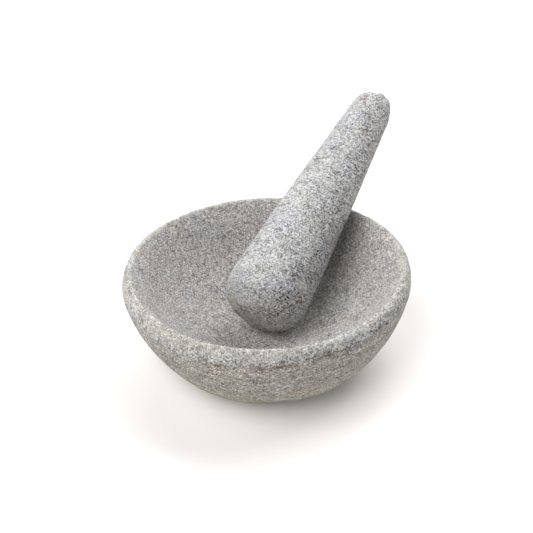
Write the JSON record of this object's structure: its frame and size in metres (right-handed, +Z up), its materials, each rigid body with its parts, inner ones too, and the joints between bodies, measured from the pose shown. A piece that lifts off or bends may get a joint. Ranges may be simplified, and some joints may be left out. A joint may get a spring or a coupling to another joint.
{
  "type": "molcajete",
  "caption": "Hand-cut grey stone mortar bowl with a thick rounded lip and a flat foot, and a loose tapered stone pestle leaning in it.",
  "frame": {"origin": "middle of the bowl's flat foot, on the surface that the bowl stands on", "axes": "+Z up along the bowl's axis; -Y towards the viewer; the pestle leans back towards +X and +Y"},
  "size_m": [0.1603, 0.192, 0.1148],
  "materials": {
    "bowl_stone": "matt, open-grained warm grey stone with fine dark, pale and rust-coloured grains",
    "pestle_stone": "matt, open-grained pale blue-grey stone with fine dark and pale grains"
  },
  "bodies": {
    "mortar": {"mortar_bowl": "bowl_stone"},
    "pestle": {"pestle": "pestle_stone"}
  },
  "joints": [
    {"name": "pestle_lift", "type": "slide", "parent": "mortar", "child": "pestle", "axis": [0, 0, 1], "range_m": [0, 0.09]}
  ]
}
